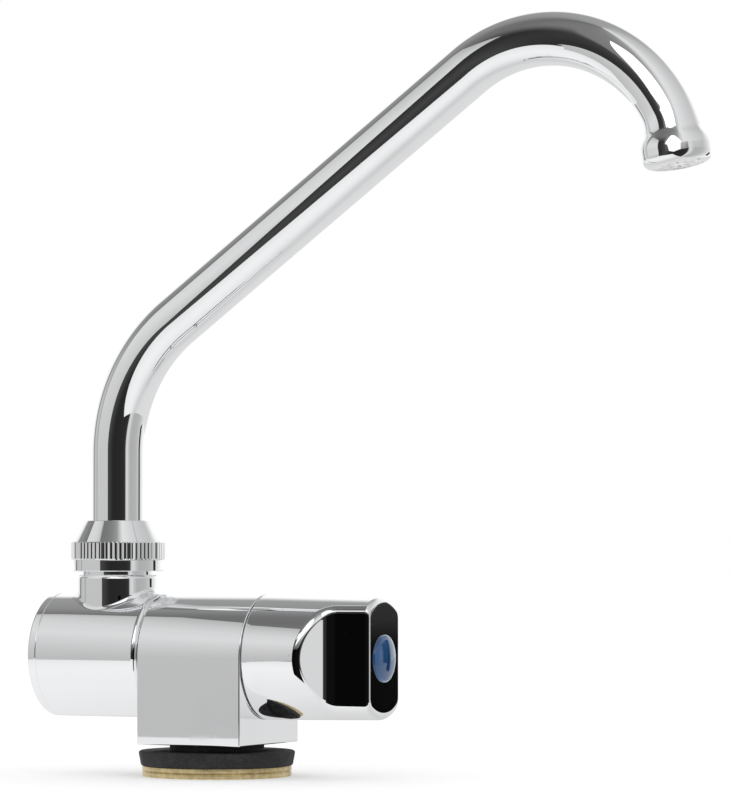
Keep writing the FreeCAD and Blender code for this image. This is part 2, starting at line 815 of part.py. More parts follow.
def spindle_clip():
    clip = ring(clip_groove_r + still_gap, clip_r, clip_x, clip_x + clip_t)
    gap = Part.makeBox(clip_r, clip_opening, clip_t, Vec(0, -clip_opening / 2, clip_x))
    return on_body_axis(clip.cut(gap))


pieces = {
    "valve_block": valve_block,
    "mounting_shank": mounting_shank,
    "inlet_seal": inlet_seal,
    "foot_gasket": foot_gasket,
    "ring_nut": ring_nut,
    "cartridge_body": cartridge_body,
    "cartridge_washer": cartridge_washer,
    "seat_seal": seat_seal,
    "fixed_ceramic_disc": fixed_disc,
    "handle_glide_ring": handle_glide_ring,
    "pivot_spigot": pivot_spigot,
    "pivot_o_rings": pivot_o_rings,
    "thrust_washer": thrust_washer,
    "fold_stop_pin": stop_pin,
    "pivot_keeper": pivot_keeper,
    "pivot_screw": pivot_screw,
    "spout_barrel": spout_barrel,
    "barrel_end_cap": barrel_end_cap,
    "union_nut": union_nut,
    "lower_slip_ring": lambda: slip_ring(neck_end, nipple_r + end_play),
    "upper_slip_ring": lambda: slip_ring(nut_shoulder - slip_ring_t, tube_r + tube_hole_gap),
    "spout_tube": spout_tube,
    "spout_nipple": spout_nipple,
    "spout_o_rings": spout_o_rings,
    "outlet_nozzle": outlet_nozzle,
    "aerator_seal": aerator_seal,
    "aerator_mesh": aerator_mesh,
    "aerator_housing": aerator_housing,
    "flow_straightener": flow_straightener,
    "handle_knob": handle_knob,
    "handle_screw": handle_screw,
    "index_cap": index_cap,
    "valve_spindle": valve_spindle,
    "moving_ceramic_disc": moving_disc,
    "spindle_o_rings": spindle_o_rings,
    "spindle_clip": spindle_clip,
}

os.makedirs("parts", exist_ok=True)
for name, make in pieces.items():
    solid = make()
    solid.exportStep("parts/" + name + ".step")
    print(name, len(solid.Solids), "solids", round(solid.Volume, 1), "mm3, valid", solid.isValid())
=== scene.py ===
import bpy
import bmesh
import math
from mathutils import Matrix, Vector


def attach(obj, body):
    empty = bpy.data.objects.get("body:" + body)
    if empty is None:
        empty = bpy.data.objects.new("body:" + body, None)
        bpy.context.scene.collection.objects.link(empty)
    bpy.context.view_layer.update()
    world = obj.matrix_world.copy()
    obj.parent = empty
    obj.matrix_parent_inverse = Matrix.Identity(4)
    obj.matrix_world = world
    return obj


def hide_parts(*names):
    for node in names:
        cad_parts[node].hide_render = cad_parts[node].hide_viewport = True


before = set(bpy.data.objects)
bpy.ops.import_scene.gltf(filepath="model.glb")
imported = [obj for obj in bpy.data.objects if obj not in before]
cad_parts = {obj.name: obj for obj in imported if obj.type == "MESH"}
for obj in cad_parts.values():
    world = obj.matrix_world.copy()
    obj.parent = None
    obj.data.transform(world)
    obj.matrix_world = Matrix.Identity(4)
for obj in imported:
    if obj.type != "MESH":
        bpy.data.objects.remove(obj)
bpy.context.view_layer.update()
mm = 0.001
axisHeight = 26.0  # body axis above the sink
neckX = -34.0  # spout axis
roundSides = 240  # facets round the large circles
boreSides = 96
past = 1.0  # how far a cutter runs past a face
touch = 0.01  # closer than this is the same place


# modelling steps that every piece shares
def clearSelection():
    if bpy.context.mode != "OBJECT":
        bpy.ops.object.mode_set(mode="OBJECT")
    bpy.ops.object.select_all(action="DESELECT")


def pick(piece):
    clearSelection()
    piece.select_set(True)
    bpy.context.view_layer.objects.active = piece


def softened(corners, steps=5):  # corners are (radius, height, rounding), round a closed outline
    points = []
    for index, (radius, height, soft) in enumerate(corners):
        here = Vector((radius, height))
        if not soft:
            points.append((radius, height))
            continue
        back = (Vector(corners[index - 1][:2]) - here).normalized()
        ahead = (Vector(corners[(index + 1) % len(corners)][:2]) - here).normalized()
        half = back.angle(ahead) / 2
        centre = here + (back + ahead).normalized() * soft / math.sin(half)
        first = here + back * soft / math.tan(half) - centre
        last = here + ahead * soft / math.tan(half) - centre
        sweep = first.angle(last)
        for step in range(steps + 1):
            part = step / steps
            spoke = (first * math.sin((1 - part) * sweep) + last * math.sin(part * sweep)) / math.sin(sweep)
            points.append(tuple(centre + spoke))
    return points


def startRing(name, sides, radius, height):
    clearSelection()
    bpy.ops.mesh.primitive_circle_add(vertices=sides, radius=radius * mm, enter_editmode=True)
    piece = bpy.context.object
    piece.name = piece.data.name = name
    bpy.ops.transform.translate(value=(0, 0, height * mm))
    return piece


def turnedPiece(name, profile, sides=160, closed=True):  # rings extruded one after another about local Z
    radius, height = profile[0]
    piece = startRing(name, sides, radius, height)
    for nextRadius, nextHeight in profile[1:]:
        step = (0, 0, (nextHeight - height) * mm)
        bpy.ops.mesh.extrude_region_move(TRANSFORM_OT_translate={"value": step})
        grow = nextRadius / radius
        bpy.ops.transform.resize(value=(grow, grow, 1))
        radius, height = nextRadius, nextHeight
    if not closed:
        bpy.ops.mesh.edge_face_add()
    bpy.ops.mesh.select_all(action="DESELECT")
    bpy.ops.mesh.select_mode(type="EDGE")
    bpy.ops.mesh.select_non_manifold()
    if closed:
        bpy.ops.mesh.bridge_edge_loops()
    else:
        bpy.ops.mesh.edge_face_add()
    faceOut()
    bpy.ops.object.mode_set(mode="OBJECT")
    return piece


def faceOut():
    bpy.ops.mesh.select_all(action="SELECT")
    bpy.ops.mesh.remove_doubles(threshold=1e-6)
    bpy.ops.mesh.select_all(action="SELECT")
    bpy.ops.mesh.normals_make_consistent(inside=False)


def loftedPiece(name, loops, apart=None):  # loops of equal length, closed by a face at each end
    count = len(loops[0])
    points = [point for loop in loops for point in loop]
    faces = [tuple(range(count)), tuple(range(len(points) - count, len(points)))]
    for row in range(len(loops) - 1):
        if row == apart:  # these two loops meet by themselves
            continue
        for step in range(count):
            after = (step + 1) % count
            low, high = row * count, (row + 1) * count
            faces.append((low + step, low + after, high + after, high + step))
    mesh = bpy.data.meshes.new(name)
    mesh.from_pydata([tuple(value * mm for value in point) for point in points], [], faces)
    piece = bpy.data.objects.new(name, mesh)
    bpy.context.scene.collection.objects.link(piece)
    pick(piece)
    bpy.ops.object.mode_set(mode="EDIT")
    faceOut()
    bpy.ops.object.mode_set(mode="OBJECT")
    return piece


def moveMesh(piece, matrix):
    pick(piece)
    piece.matrix_world = matrix @ piece.matrix_world
    bpy.ops.object.transform_apply(location=True, rotation=True, scale=True)


def toBodyAxis(piece):  # local Z becomes the body axis
    moveMesh(piece, Matrix.Translation((0, 0, axisHeight * mm)) @ Matrix.Rotation(math.pi / 2, 4, "Y"))


def selectEdges(piece, wanted):
    bpy.ops.mesh.select_all(action="DESELECT")
    bpy.ops.mesh.select_mode(type="EDGE")
    shape = bmesh.from_edit_mesh(piece.data)
    for edge in shape.edges:
        edge.select_set(wanted(edge.verts[0].co / mm, edge.verts[1].co / mm))
    bmesh.update_edit_mesh(piece.data)


def bore(piece, radius, start, end, axis="X", at=(0, 0)):  # drilled along X, or down Z
    clearSelection()
    spin = (0, math.pi / 2, 0) if axis == "X" else (0, 0, 0)
    middle = (start + end) / 2
    place = (middle, at[0], at[1]) if axis == "X" else (at[0], at[1], middle)
    bpy.ops.mesh.primitive_cylinder_add(vertices=boreSides, radius=radius * mm, depth=(end - start) * mm,
                                        location=[value * mm for value in place], rotation=spin)
    cutAway(piece, bpy.context.object)


def cutAway(piece, cutter):
    cut = piece.modifiers.new("cut", "BOOLEAN")
    cut.operation = "DIFFERENCE"
    cut.solver = "EXACT"
    cut.object = cutter
    pick(piece)
    bpy.ops.object.modifier_apply(modifier=cut.name)
    bpy.data.objects.remove(cutter)


def finishPiece(piece, body, nodes, finish, smoothAngle=32, even=True):
    pick(piece)
    bpy.ops.object.transform_apply(location=True, rotation=True, scale=True)
    bpy.ops.object.shade_smooth_by_angle(angle=math.radians(smoothAngle))
    if even:  # large faces decide the shading beside small roundings
        normals = piece.modifiers.new("evenNormals", "WEIGHTED_NORMAL")
        normals.keep_sharp = True
        bpy.ops.object.modifier_apply(modifier=normals.name)
    piece.data.materials.clear()
    piece.data.materials.append(finish)
    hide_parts(*nodes)
    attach(piece, body)
    print("made", piece.name, len(piece.data.polygons), "faces")
    return piece


# shader maths as plain expressions
class Flow:
    def __init__(self, tree, socket=None):
        self.tree = tree
        self.socket = socket

    def node(self, kind, settings=None, sockets=None, out=0):
        made = self.tree.nodes.new(kind)
        for key, value in (settings or {}).items():
            if key == "stops":
                ramp = made.color_ramp
                while len(ramp.elements) < len(value):
                    ramp.elements.new(0.5)
                for element, (place, colour) in zip(ramp.elements, value):
                    element.position = place
                    element.color = colour if len(colour) == 4 else (*colour, 1)
            elif key == "blend":
                made.color_ramp.interpolation = value
            else:
                setattr(made, key, value)
        for key, value in (sockets or {}).items():
            self.plug(made.inputs[key], value)
        return Flow(self.tree, made.outputs[out] if made.outputs else None)

    def plug(self, target, value):
        if isinstance(value, Flow):
            self.tree.links.new(value.socket, target)
        else:
            target.default_value = value

    def out(self, name):
        return Flow(self.tree, self.socket.node.outputs[name])

    def maths(self, operation, *values):
        return self.node("ShaderNodeMath", {"operation": operation}, dict(enumerate(values)))

    def __add__(self, other):
        return self.maths("ADD", self, other)

    __radd__ = __add__

    def __sub__(self, other):
        return self.maths("SUBTRACT", self, other)

    def __mul__(self, other):
        return self.maths("MULTIPLY", self, other)

    def __truediv__(self, other):
        return self.maths("DIVIDE", self, other)

    def __pow__(self, other):
        return self.maths("POWER", self, other)

    def span(self, start, end, low=0.0, high=1.0):  # smooth step between two values
        return self.node("ShaderNodeMapRange", {"interpolation_type": "SMOOTHSTEP"},
                         {0: self, 1: start, 2: end, 3: low, 4: high})

    def mix(self, first, second):  # this value mixes two colours
        return self.node("ShaderNodeMix", {"data_type": "RGBA"}, {0: self, 6: first, 7: second}, out=2)

    def noise(self, scale, detail=3.0, rough=0.5, stretch=None):
        place = self
        if stretch:
            place = self.node("ShaderNodeMapping", None, {"Vector": self, "Scale": stretch})
        return self.node("ShaderNodeTexNoise", None,
                         {"Vector": place, "Scale": scale, "Detail": detail, "Roughness": rough})

    def bump(self, strength, distance):
        return self.node("ShaderNodeBump", None, {"Strength": strength, "Distance": distance, "Height": self})


def newFinish(name):
    finish = bpy.data.materials.new(name)
    finish.use_nodes = True
    tree = finish.node_tree
    tree.nodes.clear()
    flow = Flow(tree)
    place = flow.node("ShaderNodeTexCoord").out("Object")
    return finish, flow, place


def closeFinish(flow, sockets):
    shader = flow.node("ShaderNodeBsdfPrincipled", None, sockets)
    flow.node("ShaderNodeOutputMaterial", None, {"Surface": shader})


def rgba(red, green, blue):
    return (red, green, blue, 1.0)


def polishedChrome():
    look = {"clean": rgba(0.925, 0.93, 0.94), "hazy": rgba(0.86, 0.865, 0.875), "gloss": 0.018, "haze": 0.035}
    finish, flow, place = newFinish("polishedChrome")
    smear = place.noise(38.0, 4.0, 0.55).span(0.52, 0.72)
    specks = place.noise(900.0, 1.0, 0.4).span(0.71, 0.78)
    colour = (smear * 0.35 + specks * 0.4).mix(look["clean"], look["hazy"])
    rough = smear * look["haze"] + specks * 0.08 + look["gloss"]
    ripple = place.noise(55.0, 1.0, 0.3).bump(0.02, 0.0004)
    closeFinish(flow, {"Base Color": colour, "Metallic": 1.0, "Roughness": rough, "Normal": ripple})
    return finish


def castBrass():
    look = {"bright": rgba(0.80, 0.66, 0.38), "dull": rgba(0.52, 0.41, 0.20), "stain": rgba(0.26, 0.20, 0.11)}
    finish, flow, place = newFinish("turnedBrass")
    grain = place.noise(700.0, 3.0, 0.6)
    lines = place.noise(60.0, 2.0, 0.5, (0.15, 0.15, 40.0))
    tarnish = place.noise(120.0, 4.0, 0.6).span(0.5, 0.75)
    colour = (grain.span(0.35, 0.7) * 0.6 + lines.span(0.4, 0.65) * 0.4).mix(look["dull"], look["bright"])
    colour = (tarnish * 0.55).mix(colour, look["stain"])
    rough = 0.24 + tarnish * 0.25 + grain * 0.16
    relief = (grain * 0.5 + lines * 0.5).bump(0.35, 0.0003)
    closeFinish(flow, {"Base Color": colour, "Metallic": 1.0, "Roughness": rough, "Normal": relief})
    return finish


def blackRubber():
    look = {"black": rgba(0.014, 0.014, 0.015), "worn": rgba(0.042, 0.042, 0.044)}
    finish, flow, place = newFinish("blackRubber")
    fine = place.noise(1500.0, 3.0, 0.6)
    cloud = place.noise(140.0, 4.0, 0.6)
    colour = (fine.span(0.4, 0.75) * 0.6 + cloud.span(0.45, 0.7) * 0.4).mix(look["black"], look["worn"])
    relief = (fine * 0.7 + cloud * 0.3).bump(0.5, 0.0003)
    rough = 0.62 + fine * 0.25
    closeFinish(flow, {"Base Color": colour, "Roughness": rough, "Specular IOR Level": 0.35, "Normal": relief})
    return finish


def mouldedPlastic(name, pale, deep, gloss, grain=0.12):
    finish, flow, place = newFinish(name)
    cloud = place.noise(90.0, 3.0, 0.5)
    fine = place.noise(1200.0, 2.0, 0.5)
    colour = cloud.span(0.3, 0.7).mix(deep, pale)
    rough = gloss + fine * 0.18
    closeFinish(flow, {"Base Color": colour, "Roughness": rough, "Normal": fine.bump(grain, 0.0001)})
    return finish


def bluePlastic():
    look = {"deep": rgba(0.005, 0.036, 0.11), "paintedLitBlue": rgba(0.012, 0.075, 0.21), "rim": rgba(0.34, 0.47, 0.56)}
    finish, flow, place = newFinish("blueIndexPlastic")
    apart = place.node("ShaderNodeSeparateXYZ", None, {0: place})
    side = apart.out("Y") / mm
    up = apart.out("Z") / mm - axisHeight
    reach = (side * side + up * up) ** 0.5
    cloud = place.noise(160.0, 3.0, 0.5)
    # painted light: half of this mix paints the blue lighter toward the cap's edge, the other half is random cloudy
    # tone
    colour = (cloud.span(0.3, 0.7) * 0.5 + reach.span(0.0, 6.0) * 0.5).mix(look["deep"], look["paintedLitBlue"])
    # painted reflection: a pale rim colour painted on the cap's outer edge toward +Y
    colour = (reach.span(6.45, 6.6) * side.span(-4.0, 2.0)).mix(colour, look["rim"])
    rough = 0.07 + cloud * 0.08
    closeFinish(flow, {"Base Color": colour, "Roughness": rough, "Coat Weight": 0.6, "Coat Roughness": 0.04,
                       "Normal": cloud.bump(0.03, 0.0002)})
    return finish


def brushedSteel():
    look = {"light": rgba(0.62, 0.62, 0.61), "dark": rgba(0.42, 0.42, 0.42)}
    finish, flow, place = newFinish("brushedSteel")
    lines = place.noise(180.0, 3.0, 0.6, (6.0, 1.0, 1.0))
    colour = lines.span(0.35, 0.65).mix(look["dark"], look["light"])
    closeFinish(flow, {"Base Color": colour, "Metallic": 1.0, "Roughness": 0.22 + lines * 0.2,
                       "Normal": lines.bump(0.15, 0.0001)})
    return finish


chrome = polishedChrome()
brass = castBrass()
rubber = blackRubber()
greyPlastic = mouldedPlastic("greyPlastic", rgba(0.42, 0.43, 0.44), rgba(0.30, 0.31, 0.32), 0.32)
palePlastic = mouldedPlastic("palePlastic", rgba(0.80, 0.80, 0.79), rgba(0.72, 0.72, 0.72), 0.25, 0.02)
ceramic = mouldedPlastic("whiteCeramic", rgba(0.83, 0.83, 0.80), rgba(0.74, 0.73, 0.70), 0.16)
bluePart = bluePlastic()
steel = brushedSteel()
print("finishes ready")


# valve block: half a circle with straight sides, drawn along the body axis
def makeBlock():
    block = {"left": -17.0, "right": 17.6, "radius": 18.75, "edge": 0.4,
             "cartridgeBore": 12.0, "cartridgeDepth": 11.0, "spigotBore": 13.0, "spigotDepth": 8.0,
             "shankBore": 13.25, "shankDepth": 0.6, "stubBore": 10.0, "stubDepth": 9.0}
    left, right, radius = block["left"], block["right"], block["radius"]
    clearSelection()
    bpy.ops.mesh.primitive_circle_add(vertices=roundSides, radius=radius * mm, enter_editmode=True,
                                      location=(left * mm, 0, axisHeight * mm), rotation=(0, math.pi / 2, 0))
    piece = bpy.context.object
    piece.name = piece.data.name = "valveBlock"
    bpy.ops.object.mode_set(mode="OBJECT")
    pick(piece)
    bpy.ops.object.transform_apply(location=True, rotation=True, scale=True)
    bpy.ops.object.mode_set(mode="EDIT")
    selectEdges(piece, lambda a, b: (a.z + b.z) / 2 < axisHeight - touch)
    bpy.ops.mesh.delete(type="EDGE")
    bpy.ops.mesh.select_mode(type="VERT")
    bpy.ops.mesh.select_all(action="DESELECT")
    shape = bmesh.from_edit_mesh(piece.data)
    for corner in shape.verts:
        corner.select_set(abs(corner.co.z / mm - axisHeight) < touch)
    bmesh.update_edit_mesh(piece.data)
    bpy.ops.mesh.extrude_vertices_move(TRANSFORM_OT_translate={"value": (0, 0, -axisHeight * mm)})
    bpy.ops.mesh.select_all(action="SELECT")
    bpy.ops.mesh.edge_face_add()
    bpy.ops.mesh.extrude_region_move(TRANSFORM_OT_translate={"value": ((right - left) * mm, 0, 0)})
    faceOut()

    def rim(a, b):
        atEnd = abs(a.x - b.x) < touch
        atFoot = a.z < touch and b.z < touch
        return atEnd or atFoot

    selectEdges(piece, rim)
    bpy.ops.mesh.bevel(offset=block["edge"] * mm, segments=4, profile=0.5, affect="EDGES")
    bpy.ops.object.mode_set(mode="OBJECT")
    bore(piece, block["cartridgeBore"], right - block["cartridgeDepth"], right + past, "X", (0, axisHeight))
    bore(piece, block["spigotBore"], left - past, left + block["spigotDepth"], "X", (0, axisHeight))
    bore(piece, block["shankBore"], -past, block["shankDepth"], "Z")
    bore(piece, block["stubBore"], 0, block["stubDepth"], "Z")
    finishPiece(piece, "base", ["valve_block"], chrome)


# barrel with its neck; a ball rolled round the joint gives the blend
def makeBarrel():
    barrel = {"right": -17.5, "left": -52.0, "radius": 18.75, "edge": 1.8, "leftEdge": 0.25, "bore": 9.05,
              "recess": 15.5, "recessDepth": 6.1, "pinCircle": 15.9, "pinHalf": 1.55, "pinDepth": 2.4,
              "slotSteps": 32}
    neck = {"radius": 12.4, "top": 50.2, "edge": 1.3, "collar": 11.1, "collarTop": 50.9, "thread": 11.0,
            "threadTop": 59.6, "bore": 9.5, "boreFloor": 40.0, "blend": 2.0, "sides": 192, "steps": 9,
            "collarSink": 0.06, "rootShare": 0.8, "rootDrop": 4.0}
    right, left, radius = barrel["right"], barrel["left"], barrel["radius"]
    clearSelection()
    bpy.ops.mesh.primitive_cylinder_add(vertices=roundSides, radius=radius * mm, depth=(right - left) * mm,
                                        location=((right + left) / 2 * mm, 0, axisHeight * mm),
                                        rotation=(0, math.pi / 2, 0), enter_editmode=True)
    piece = bpy.context.object
    piece.name = piece.data.name = "spoutBarrel"
    bpy.ops.object.mode_set(mode="OBJECT")
    pick(piece)
    bpy.ops.object.transform_apply(location=True, rotation=True, scale=True)
    bpy.ops.object.mode_set(mode="EDIT")
    selectEdges(piece, lambda a, b: a.x > right - touch and b.x > right - touch)
    bpy.ops.mesh.bevel(offset=barrel["edge"] * mm, segments=7, profile=0.5, affect="EDGES")
    selectEdges(piece, lambda a, b: a.x < left + touch and b.x < left + touch)
    bpy.ops.mesh.bevel(offset=barrel["leftEdge"] * mm, segments=3, profile=0.5, affect="EDGES")
    bpy.ops.object.mode_set(mode="OBJECT")
    bore(piece, barrel["bore"], left - past, right + past, "X", (0, axisHeight))
    bore(piece, barrel["recess"], left - past, left + barrel["recessDepth"], "X", (0, axisHeight))

    inner, outer = barrel["pinCircle"] - barrel["pinHalf"], barrel["pinCircle"] + barrel["pinHalf"]
    reach = math.degrees(barrel["pinHalf"] / barrel["pinCircle"])
    deep = right - barrel["pinDepth"]
    corners = [(deep, inner), (deep, outer), (right + past, outer), (right + past, inner)]
    loops = []
    for step in range(barrel["slotSteps"] + 1):  # the stop pin's quarter turn
        turn = math.radians(180 + reach - (90 + 2 * reach) * step / barrel["slotSteps"])
        loops.append([(x, -r * math.sin(turn), axisHeight + r * math.cos(turn)) for x, r in corners])
    cutAway(piece, loftedPiece("pinSlot", loops))

    sides, ball = neck["sides"], neck["blend"]

    def hoop(r, z):
        return [(neckX + r * math.cos(math.tau * i / sides), r * math.sin(math.tau * i / sides), z)
                for i in range(sides)]

    bands = [hoop(neck["bore"], neck["boreFloor"]), hoop(neck["bore"], neck["threadTop"])]
    bands += [hoop(neck["thread"], neck["threadTop"]), hoop(neck["thread"], neck["collarTop"])]
    bands += [hoop(neck["collar"], neck["collarTop"]), hoop(neck["collar"], neck["top"] - neck["collarSink"])]
    for step in range(4, 13):
        turn = math.pi / 2 * step / 12
        bands.append(hoop(neck["radius"] - neck["edge"] * (1 - math.sin(turn)),
                          neck["top"] - neck["edge"] * (1 - math.cos(turn))))
    blend = [[] for step in range(neck["steps"] + 1)]
    for i in range(sides):
        turn = math.tau * i / sides
        off = neck["radius"] + ball
        side = off * math.sin(turn)
        rise = math.sqrt((radius + ball) ** 2 - side ** 2)
        centre = Vector((neckX + off * math.cos(turn), side, axisHeight + rise))
        toNeck = Vector((-math.cos(turn), -math.sin(turn), 0))
        toBarrel = Vector((0, -side, -rise)).normalized()
        sweep = toNeck.angle(toBarrel)
        for step, band in enumerate(blend):
            part = step / neck["steps"]
            way = (toNeck * math.sin((1 - part) * sweep) + toBarrel * math.sin(part * sweep)) / math.sin(sweep)
            band.append(tuple(centre + way * ball))
    bands += blend
    share, drop = neck["rootShare"], neck["rootDrop"]  # its root lies inside the barrel
    bands.append([(neckX + (x - neckX) * share, y * share, z - drop) for x, y, z in blend[-1]])
    collar = loftedPiece("neck", bands)
    pick(piece)
    collar.select_set(True)
    bpy.ops.object.join()
    finishPiece(piece, "barrel", ["spout_barrel"], chrome)


def makeEndCap():
    cap = {"radius": 18.75, "left": -54.9, "right": -52.0, "edge": 0.9, "seamEdge": 0.25, "plug": 15.47,
           "plugWall": 1.5, "plugEnd": -49.0, "middle": 0.4, "faceInset": 4.0}
    outline = [(cap["middle"], cap["left"], 0), (cap["radius"] - cap["faceInset"], cap["left"], 0),
               (cap["radius"], cap["left"], cap["edge"]), (cap["radius"], cap["right"], cap["seamEdge"]),
               (cap["plug"], cap["right"], 0), (cap["plug"], cap["plugEnd"], 0.3),
               (cap["plug"] - cap["plugWall"], cap["plugEnd"], 0),
               (cap["plug"] - cap["plugWall"], cap["right"], 0), (cap["middle"], cap["right"], 0)]
    piece = turnedPiece("barrelEndCap", softened(outline, 7), roundSides, closed=False)
    toBodyAxis(piece)
    finishPiece(piece, "barrel", ["barrel_end_cap"], chrome)


def makeUnionNut():
    nut = {"bore": 11.03, "bottom": 51.2, "band": 13.8, "bandTop": 54.55, "relief": 13.5, "knurl": 14.2,
           "knurlLow": 54.7, "knurlHigh": 60.1, "knurlEdge": 0.3, "root": 14.0, "teeth": 64, "cone": 13.6,
           "coneTop": 10.1, "top": 66.5, "hole": 8.25, "shoulder": 62.4}
    edge = nut["knurlEdge"]
    outline = [(nut["bore"], nut["bottom"], 0), (nut["band"], nut["bottom"], 0.25),
               (nut["band"], nut["bandTop"], 0.12), (nut["relief"], nut["knurlLow"], 0),
               (nut["knurl"] - edge, nut["knurlLow"], 0), (nut["knurl"], nut["knurlLow"] + edge, 0),
               (nut["knurl"], nut["knurlHigh"] - edge, 0), (nut["knurl"] - edge, nut["knurlHigh"], 0),
               (nut["cone"], nut["knurlHigh"], 0), (nut["coneTop"], nut["top"], 0.3),
               (nut["hole"], nut["top"], 0.15), (nut["hole"], nut["shoulder"], 0), (nut["bore"], nut["shoulder"], 0)]
    piece = turnedPiece("unionNut", softened(outline, 4), nut["teeth"] * 4)
    pick(piece)
    bpy.ops.object.mode_set(mode="EDIT")
    bpy.ops.mesh.select_all(action="DESELECT")
    bpy.ops.mesh.select_mode(type="VERT")
    shape = bmesh.from_edit_mesh(piece.data)
    for corner in shape.verts:
        reach = math.hypot(corner.co.x, corner.co.y) / mm
        column = round(math.atan2(corner.co.y, corner.co.x) / math.tau * nut["teeth"] * 4) % 4
        height = corner.co.z / mm
        inBand = nut["knurlLow"] + edge / 2 < height < nut["knurlHigh"] - edge / 2
        corner.select_set(column == 1 and inBand and reach > nut["knurl"] - 0.02)
    bmesh.update_edit_mesh(piece.data)
    sink = nut["root"] / nut["knurl"]
    bpy.ops.transform.resize(value=(sink, sink, 1), center_override=(0, 0, 0))
    bpy.ops.object.mode_set(mode="OBJECT")
    moveMesh(piece, Matrix.Translation((neckX * mm, 0, 0)))
    finishPiece(piece, "barrel", ["union_nut"], chrome, 25)


# spout: a ring extruded up, spun round each bend and given its wall
spout = {"radius": 8.0, "wall": 1.0, "foot": 48.0, "rise": 86.9, "bend": 49.0, "climb": 36.3,
         "climbLength": 120.6, "arch": 42.3, "archEnd": -60.0, "curl": 22.0, "outlet": -80.0,
         "flare": 8.65, "flareLength": 6.0, "sides": 112}


def makeSpout():
    piece = startRing("spoutTube", spout["sides"], spout["radius"], spout["foot"])
    bpy.ops.transform.translate(value=(neckX * mm, 0, 0))
    at = Vector((neckX, 0, spout["foot"]))
    heading = 90.0
    runs = [("straight", spout["rise"] - spout["foot"]), ("turn", spout["bend"], spout["climb"], 40),
            ("straight", spout["climbLength"]), ("turn", spout["arch"], spout["archEnd"], 72),
            ("turn", spout["curl"], spout["outlet"], 14)]
    for run in runs:
        way = math.radians(heading)
        if run[0] == "straight":
            step = Vector((math.cos(way), 0, math.sin(way))) * run[1]
            bpy.ops.mesh.extrude_region_move(TRANSFORM_OT_translate={"value": step * mm})
            at = at + step
            continue
        bendRadius, goal, steps = run[1:]
        centre = at + Vector((math.sin(way), 0, -math.cos(way))) * bendRadius
        bpy.ops.mesh.spin(steps=steps, angle=math.radians(goal - heading), center=centre * mm, axis=(0, 1, 0))
        end = math.radians(goal)
        at = centre + Vector((-math.sin(end), 0, math.cos(end))) * bendRadius
        heading = goal
    faceOut()
    bpy.ops.object.mode_set(mode="OBJECT")
    for corner in piece.data.vertices:  # the last of the curl widens into the nozzle
        spoke = corner.co / mm - centre
        turn = math.atan2(-spoke.x, spoke.z)
        share = 1 - math.radians(abs(math.degrees(turn) - spout["outlet"])) * spout["curl"] / spout["flareLength"]
        middle = centre + Vector((-math.sin(turn), 0, math.cos(turn))) * spout["curl"]
        if share > 0 and (corner.co / mm - middle).length < spout["radius"] + 0.1:
            grow = 1 + (spout["flare"] / spout["radius"] - 1) * share ** 2
            corner.co = (middle + (corner.co / mm - middle) * grow) * mm
    wall = piece.modifiers.new("wall", "SOLIDIFY")
    wall.thickness = spout["wall"] * mm
    wall.offset = -1
    pick(piece)
    bpy.ops.object.modifier_apply(modifier=wall.name)
    finishPiece(piece, "spout", ["spout_tube"], chrome, 32, False)
    return at


def makeNozzle(end):
    nozzle = {"length": 10.2, "neck": 8.65, "neckSlope": 0.217, "bulb": 10.45, "flare": 28.0, "flareEnd": 1.95,
              "shoulder": 7.0, "rim": 3.2, "bore": 5.4, "spigot": 6.6, "spigotLength": 3.0, "seat": 7.03,
              "seatDepth": 6.4}
    flare, shoulder, bulb = math.radians(nozzle["flare"]), nozzle["shoulder"], nozzle["bulb"]
    flareRadius, flareEnd = bulb - shoulder * (1 - math.cos(flare)), nozzle["flareEnd"]
    widest = flareEnd + shoulder * math.sin(flare)
    profile = [(nozzle["bore"], -nozzle["spigotLength"]), (nozzle["spigot"], -nozzle["spigotLength"]),
               (nozzle["spigot"], 0)]
    for step in range(8):  # an even curve from the tube's slope to the bulb's
        part = step / 8
        radius = nozzle["neck"] * (1 + 2 * part) * (1 - part) ** 2 + flareRadius * part ** 2 * (3 - 2 * part)
        radius += flareEnd * part * (1 - part) * (nozzle["neckSlope"] * (1 - part) - math.tan(flare) * part)
        profile.append((radius, flareEnd * part))
    for step in range(13):
        turn = flare * (1 - step / 12)
        profile.append((bulb - shoulder * (1 - math.cos(turn)), widest - shoulder * math.sin(turn)))
    for step in range(15):
        turn = math.pi / 2 * step / 14
        profile.append((bulb - nozzle["rim"] * (1 - math.cos(turn)),
                        nozzle["length"] - nozzle["rim"] * (1 - math.sin(turn))))
    floor = nozzle["length"] - nozzle["seatDepth"]
    profile += [(nozzle["seat"], nozzle["length"]), (nozzle["seat"], floor), (nozzle["bore"], floor)]
    piece = turnedPiece("outletNozzle", profile, 144)
    lean = Matrix.Rotation(math.radians(90 - spout["outlet"]), 4, "Y")
    moveMesh(piece, Matrix.Translation(end * mm) @ lean)
    finishPiece(piece, "spout", ["outlet_nozzle"], chrome, 32)


